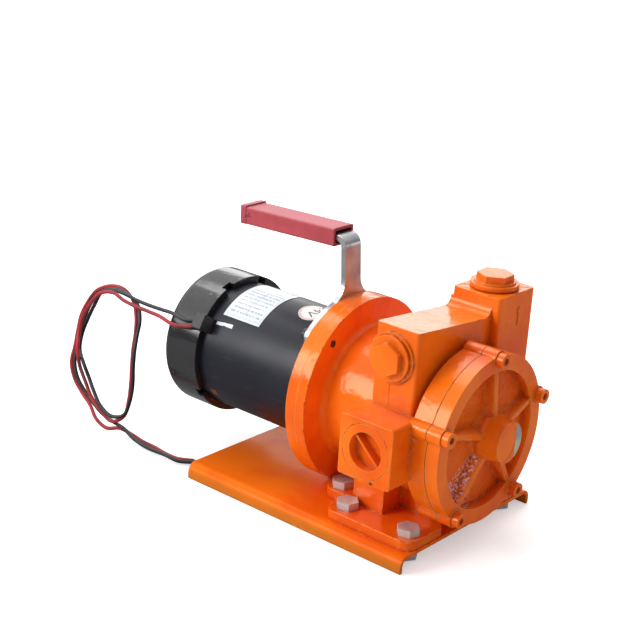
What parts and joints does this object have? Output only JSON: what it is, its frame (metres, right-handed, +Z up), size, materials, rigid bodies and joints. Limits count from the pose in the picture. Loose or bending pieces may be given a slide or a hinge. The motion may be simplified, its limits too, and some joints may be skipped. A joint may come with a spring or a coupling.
{
  "type": "diesel transfer pump",
  "caption": "Electric fuel transfer pump: black DC motor flanged to an orange eccentric vane pump on a folded base plate, with carry handle, bypass valve and twin lead.",
  "frame": {"origin": "middle of the box round the pump without its leads, on the surface that the base plate's lips stand on", "axes": "+X along the shaft from the motor towards the pump cover, +Y from the shaft towards the outlet column (the inlet faces -Y), +Z up"},
  "size_m": [0.4508, 0.1924, 0.2346],
  "materials": {
    "plate_paint": "gloss",
    "casting_paint": "gloss",
    "cover_paint": "gloss",
    "screw_paint": "gloss",
    "flange_paint": "gloss",
    "cap_paint": "gloss",
    "washer_paint": "gloss",
    "plug_paint": "gloss",
    "cast_iron": "machined",
    "gasket": "matt",
    "black_screw": "black oxide",
    "bracket_zinc": "zinc plated",
    "grip_red": "satin",
    "tube_black": "gloss",
    "cap_black": "gloss",
    "magnet": "matt",
    "shield_alloy": "cast",
    "zinc_steel": "zinc plated",
    "brush_plastic": "matt",
    "carbon": "matt",
    "core_steel": "laminated",
    "copper": "lacquered",
    "machined_steel": "ground",
    "coupling_alloy": "cast",
    "spider_rubber": "matt",
    "rotor_iron": "ground",
    "vane_composite": "matt",
    "bronze": "sintered",
    "spring_steel": "drawn",
    "bolt_zinc": "zinc plated",
    "grommet_rubber": "satin",
    "lead_red": "satin",
    "lead_black": "satin",
    "label_paper": "satin",
    "label_round": "satin",
    "hub_foil": "satin"
  },
  "bodies": {
    "pump": {"base_plate": "plate_paint", "pump_body": "casting_paint", "cam_ring": "cast_iron", "front_cover": "cover_paint", "cover_gasket": "gasket", "cover_screws": "screw_paint", "motor_front_flange": "flange_paint", "flange_screws": "black_screw", "handle_bracket": "bracket_zinc", "handle_grip": "grip_red", "motor_tube": "tube_black", "field_magnets": "magnet", "rear_end_shield": "shield_alloy", "end_cap": "cap_black", "end_cap_screws": "zinc_steel", "brush_holders": "brush_plastic", "carbon_brushes": "carbon", "shaft_seal": "gasket", "hub_bushing": "bronze", "bearing_outer_rings": "machined_steel", "bearing_balls": "machined_steel", "relief_spring": "spring_steel", "relief_cap": "cap_paint", "relief_washer": "washer_paint", "outlet_cap": "cap_paint", "outlet_washer": "washer_paint", "inlet_plug": "plug_paint", "foot_bolts": "bolt_zinc", "foot_washers": "bolt_zinc", "foot_nuts": "bolt_zinc", "lead_grommet": "grommet_rubber", "red_lead": "lead_red", "black_lead": "lead_black", "rating_label": "label_paper", "voltage_label": "label_round", "hub_label": "hub_foil"},
    "rotor": {"motor_shaft": "machined_steel", "coupling_motor_half": "coupling_alloy", "coupling_spider": "spider_rubber", "coupling_pump_half": "coupling_alloy", "pump_shaft": "machined_steel", "armature_core": "core_steel", "armature_windings": "copper", "commutator": "copper", "bearing_inner_rings": "machined_steel", "pump_rotor": "rotor_iron", "rotor_vanes": "vane_composite"},
    "bypass_poppet": {"relief_poppet": "machined_steel"}
  },
  "joints": [
    {"name": "rotor_spin", "type": "hinge", "parent": "pump", "child": "rotor", "pos_m": [0, 0.0042, 0.096], "axis": [1, 0, 0], "continuous": true},
    {"name": "bypass_lift", "type": "slide", "parent": "pump", "child": "bypass_poppet", "axis": [0, -1, 0], "range_m": [0, 0.008], "stiffness_N_per_m": 2500, "springref_m": -0.004, "deforming": ["relief_spring"]}
  ]
}
